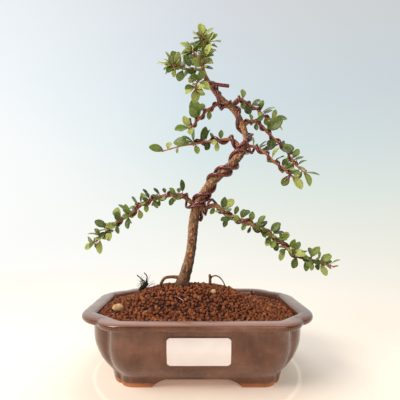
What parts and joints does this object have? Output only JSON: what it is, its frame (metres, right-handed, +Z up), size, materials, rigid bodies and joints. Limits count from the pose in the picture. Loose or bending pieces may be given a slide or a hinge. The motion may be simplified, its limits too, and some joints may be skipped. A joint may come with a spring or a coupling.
{
  "type": "cotoneaster bonsai in a glazed tray pot",
  "caption": "Wired informal-upright bonsai with small oval leaves, standing on a soil mound in a notched-corner glazed tray pot on four feet.",
  "frame": {"origin": "centre of the bounding box, at the level of the undersides of the pot's feet", "axes": "+X to the right and +Y away from the viewer in the tree's front view, +Z up"},
  "size_m": [0.2182, 0.1406, 0.3195],
  "materials": {
    "pot_glaze": "glossy brown-mauve glaze, rust red where it runs thin at the edges",
    "soil": "dry matt baked clay grains, red-brown to tan",
    "pebble": "matt, pale tan",
    "bark": "rough tan-brown bark with lighter scars",
    "leaf": "satin mid-green to yellow-green leaves, paler below, on red-brown twigs",
    "wire": "maroon-brown anodised, semi-gloss",
    "label": "matt off-white",
    "screen": "matt black",
    "dry_root": "matt, near black"
  },
  "bodies": {
    "root": {"pot": "pot_glaze", "drain_screen_left": "screen", "drain_screen_right": "screen", "anchor_wire": "wire", "soil": "soil", "stone_large": "pebble", "stone_small": "pebble", "dry_root_tuft": "dry_root", "label": "label", "trunk": "bark", "lower_branch_wire": "wire", "trunk_wire_1": "wire", "trunk_wire_2": "wire", "right_branch_wire": "wire", "top_branch_wire": "wire", "leaves_lower_left": "leaf", "leaves_lower_right": "leaf", "leaves_middle_left": "leaf", "leaves_right_low": "leaf", "leaves_right_middle": "leaf", "leaves_right_top": "leaf", "leaves_upper_left": "leaf", "leaves_apex": "leaf"}
  },
  "joints": []
}
